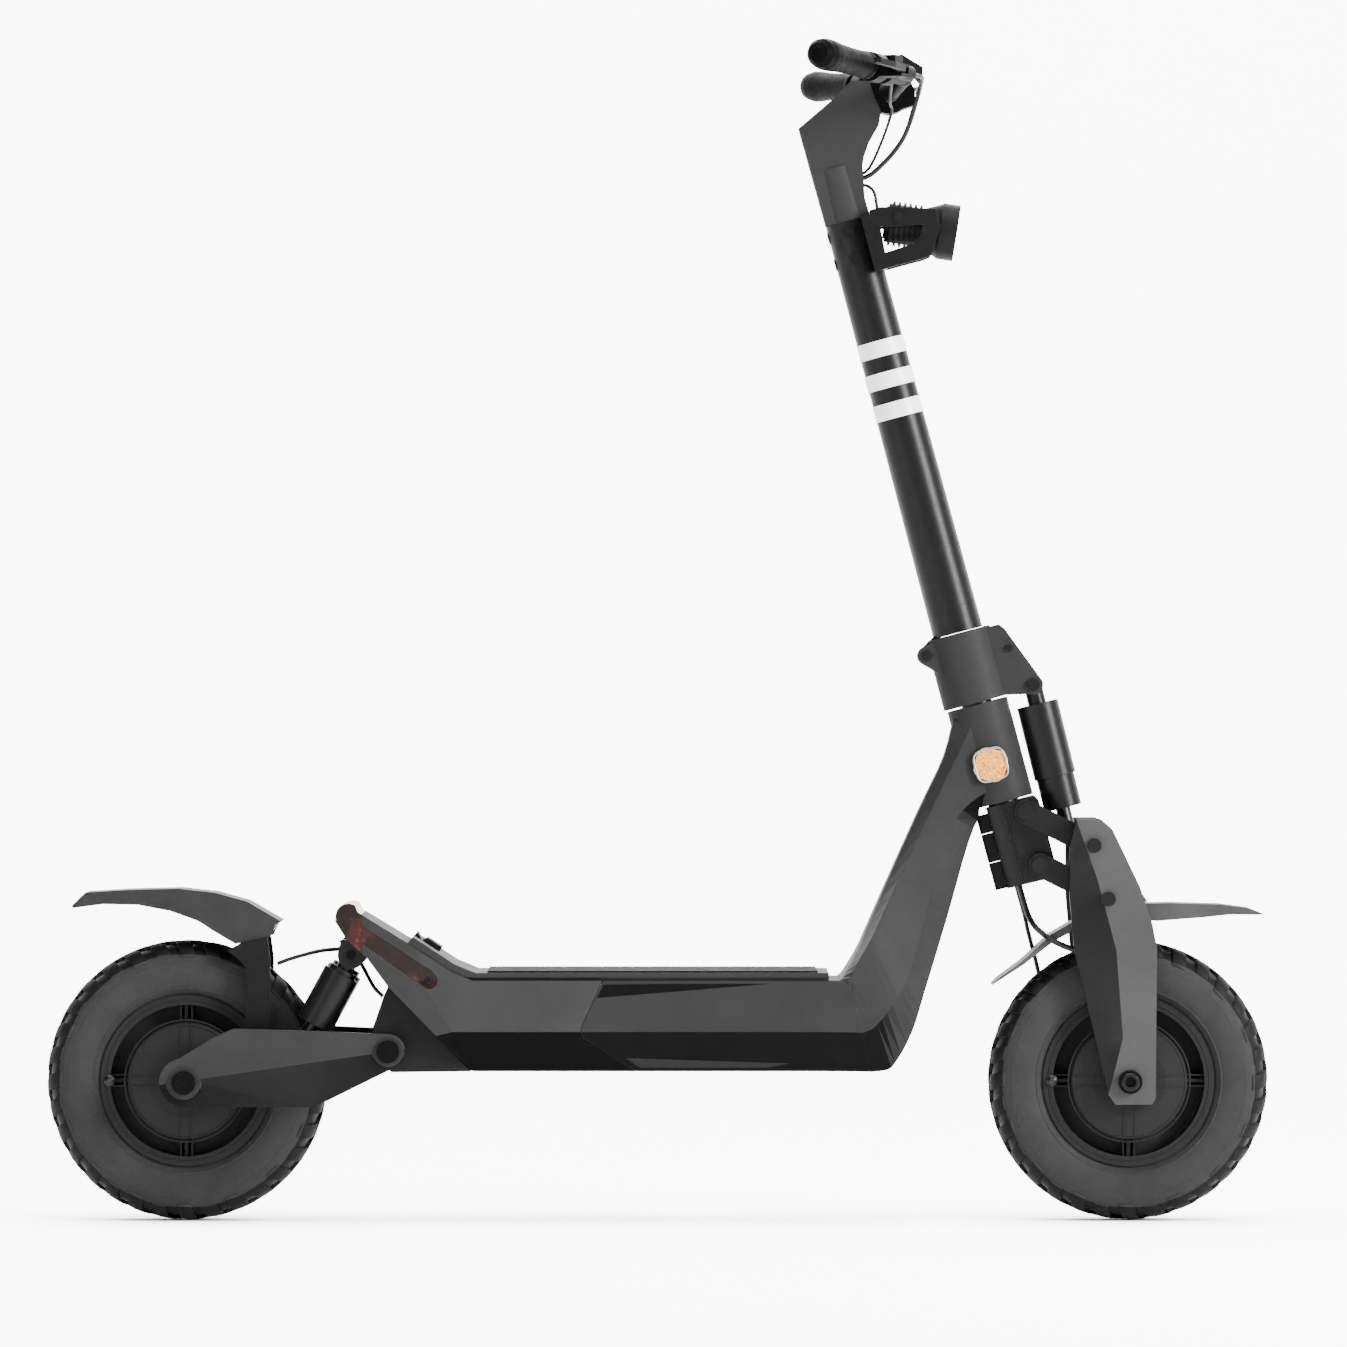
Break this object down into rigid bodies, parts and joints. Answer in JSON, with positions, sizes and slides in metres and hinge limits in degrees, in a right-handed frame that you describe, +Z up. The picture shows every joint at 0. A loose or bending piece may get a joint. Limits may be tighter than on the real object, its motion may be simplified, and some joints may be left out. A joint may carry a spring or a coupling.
{
  "type": "electric kick scooter",
  "caption": "Folding electric kick scooter with hub-motor wheels, linked front fork, sprung rear swingarm, battery deck, round stem and swept handlebar.",
  "frame": {"origin": "on the ground, under the middle of the scooter's length and width", "axes": "+X forward, +Y to the rider's left, +Z up"},
  "size_m": [1.342, 0.6622, 1.2806],
  "materials": {
    "frame_grey": "satin",
    "black_metal": "satin",
    "steel": "satin",
    "bolt_black": "satin",
    "tyre": "matt",
    "grip_rubber": "matt",
    "mat_rubber": "matt",
    "black_plastic": "matt",
    "white_film": "gloss",
    "amber": "gloss",
    "lamp_smoke": "gloss",
    "lens": "gloss",
    "battery": "matt",
    "alloy": "satin",
    "cable": "matt",
    "red_plastic": "gloss"
  },
  "bodies": {
    "frame": {"front_frame": "frame_grey", "rear_shell": "frame_grey", "pivot_bracket": "black_metal", "deck_cover": "frame_grey", "deck_mat": "mat_rubber", "tail_lamp": "lamp_smoke", "stem_catch": "black_plastic", "shock_yoke": "black_metal", "battery_pack": "battery", "motor_controller": "alloy", "side_reflectors": "amber", "headset_bearings": "steel", "swingarm_axle": "steel", "rear_cables": "cable"},
    "steerer": {"fold_collar": "frame_grey", "steerer_tube": "steel", "fork_crown": "black_metal", "crown_cover": "black_plastic", "crown_bolts": "bolt_black"},
    "fold_latch": {"latch_lever": "black_metal"},
    "stem": {"stem_tube": "black_metal", "stem_stripes": "white_film", "stem_head": "frame_grey", "stem_bolts": "bolt_black", "bar_clamp": "black_metal", "handlebar": "black_metal", "grips": "grip_rubber", "brake_perches": "black_metal", "display": "black_plastic", "control_pods": "black_plastic", "headlight_bracket": "black_metal", "control_cables": "cable"},
    "right_lever": {"right_brake_lever": "black_metal"},
    "left_lever": {"left_brake_lever": "black_metal"},
    "throttle": {"throttle_paddle": "black_plastic"},
    "button": {"mode_button": "red_plastic"},
    "headlight": {"headlight_body": "black_plastic", "headlight_lens": "lens"},
    "upper_arm": {"upper_link": "black_metal"},
    "lower_arm": {"lower_link": "black_metal"},
    "fork": {"front_fork": "frame_grey", "fork_bolts": "bolt_black", "front_axle": "steel", "front_fender": "black_plastic", "front_caliper": "black_plastic", "front_cables": "cable"},
    "front_can": {"front_shock_can": "black_metal"},
    "front_rod": {"front_shock_rod": "steel"},
    "front_wheel": {"front_tyre": "tyre", "front_hub": "black_metal"},
    "rear_arm": {"swingarm": "frame_grey", "rear_fender": "black_plastic", "fender_stay": "black_plastic", "rear_axle": "steel", "rear_caliper": "black_plastic"},
    "rear_cans": {"rear_shock_cans": "black_metal"},
    "rear_rods": {"rear_shock_rods": "steel"},
    "rear_wheel": {"rear_tyre": "tyre", "rear_hub": "black_metal"},
    "kickstand": {"kickstand_leg": "black_metal"}
  },
  "joints": [
    {"name": "steering", "type": "hinge", "parent": "frame", "child": "steerer", "pos_m": [0.365, 0, 0.5165], "axis": [-0.2588, 0, 0.9659], "range_deg": [-45, 45]},
    {"name": "stem_fold", "type": "hinge", "parent": "steerer", "child": "stem", "pos_m": [0.29582, 0, 0.62013], "axis": [0, -1, 0], "range_deg": [0, 105]},
    {"name": "fold_latch", "type": "hinge", "parent": "steerer", "child": "fold_latch", "pos_m": [0.38567, 0, 0.62867], "axis": [0, 1, 0], "range_deg": [0, 35], "stiffness_Nm_per_rad": 1, "springref_deg": -11.46},
    {"name": "right_brake", "type": "hinge", "parent": "stem", "child": "right_lever", "pos_m": [0.26053, -0.19804, 1.25279], "axis": [-0.02, -0.0458, -0.9988], "range_deg": [0, 13], "stiffness_Nm_per_rad": 2, "springref_deg": -8.59},
    {"name": "left_brake", "type": "hinge", "parent": "stem", "child": "left_lever", "pos_m": [0.26053, 0.19804, 1.25279], "axis": [0.02, -0.0458, 0.9988], "range_deg": [0, 13], "stiffness_Nm_per_rad": 2, "springref_deg": -8.59},
    {"name": "throttle_turn", "type": "hinge", "parent": "stem", "child": "throttle", "pos_m": [0.24959, -0.15311, 1.26807], "axis": [0.02, 0.0458, 0.9988], "range_deg": [0, 24], "stiffness_Nm_per_rad": 0.2, "springref_deg": -11.46},
    {"name": "button_press", "type": "slide", "parent": "stem", "child": "button", "axis": [-0.02, 0.0458, -0.9988], "range_m": [0, 0.0012], "stiffness_N_per_m": 400, "springref_m": -0.001},
    {"name": "headlight_tilt", "type": "hinge", "parent": "stem", "child": "headlight", "pos_m": [0.26471, 0, 1.10137], "axis": [0, 1, 0], "range_deg": [-8, 8]},
    {"name": "front_travel", "type": "hinge", "parent": "steerer", "child": "lower_arm", "pos_m": [0.41939, 0, 0.39079], "axis": [0, -1, 0], "range_deg": [0, 26], "stiffness_Nm_per_rad": 60, "springref_deg": -20.05},
    {"name": "upper_arm_turn", "type": "hinge", "parent": "steerer", "child": "upper_arm", "pos_m": [0.40373, 0, 0.44923], "axis": [0, -1, 0], "range_deg": [0, 26.5]},
    {"name": "fork_turn", "type": "hinge", "parent": "lower_arm", "child": "fork", "pos_m": [0.49277, 0, 0.3542], "axis": [0, -1, 0], "range_deg": [-26.5, 0]},
    {"name": "front_can_turn", "type": "hinge", "parent": "steerer", "child": "front_can", "pos_m": [0.41255, 0, 0.58825], "axis": [0, -1, 0], "range_deg": [0, 10]},
    {"name": "front_rod_slide", "type": "slide", "parent": "front_can", "child": "front_rod", "axis": [-0.2395, 0, 0.9709], "range_m": [0, 0.03]},
    {"name": "front_wheel_spin", "type": "hinge", "parent": "fork", "child": "front_wheel", "pos_m": [0.517, 0, 0.154], "axis": [0, 1, 0], "continuous": true},
    {"name": "rear_travel", "type": "hinge", "parent": "frame", "child": "rear_arm", "pos_m": [-0.294, 0, 0.188], "axis": [0, 1, 0], "range_deg": [0, 9], "stiffness_Nm_per_rad": 500, "springref_deg": -6.88},
    {"name": "rear_can_turn", "type": "hinge", "parent": "frame", "child": "rear_cans", "pos_m": [-0.3345, 0, 0.2928], "axis": [0, 1, 0], "range_deg": [0, 6]},
    {"name": "rear_rod_slide", "type": "slide", "parent": "rear_cans", "child": "rear_rods", "axis": [0.4787, 0, 0.878], "range_m": [0, 0.02]},
    {"name": "rear_wheel_spin", "type": "hinge", "parent": "rear_arm", "child": "rear_wheel", "pos_m": [-0.517, 0, 0.154], "axis": [0, 1, 0], "continuous": true},
    {"name": "kickstand_swing", "type": "hinge", "parent": "frame", "child": "kickstand", "pos_m": [-0.228, 0, 0.181], "axis": [0, 1, 0], "range_deg": [0, 95]}
  ],
  "couplings": [
    {"joint": "upper_arm_turn", "follows": "front_travel", "ratio": 1},
    {"joint": "fork_turn", "follows": "front_travel", "ratio": -1},
    {"joint": "front_can_turn", "follows": "front_travel", "ratio": 0.1705},
    {"joint": "front_rod_slide", "follows": "front_travel", "m_per_rad": 0.04741},
    {"joint": "rear_can_turn", "follows": "rear_travel", "ratio": 0.3567},
    {"joint": "rear_rod_slide", "follows": "rear_travel", "m_per_rad": 0.08775}
  ]
}
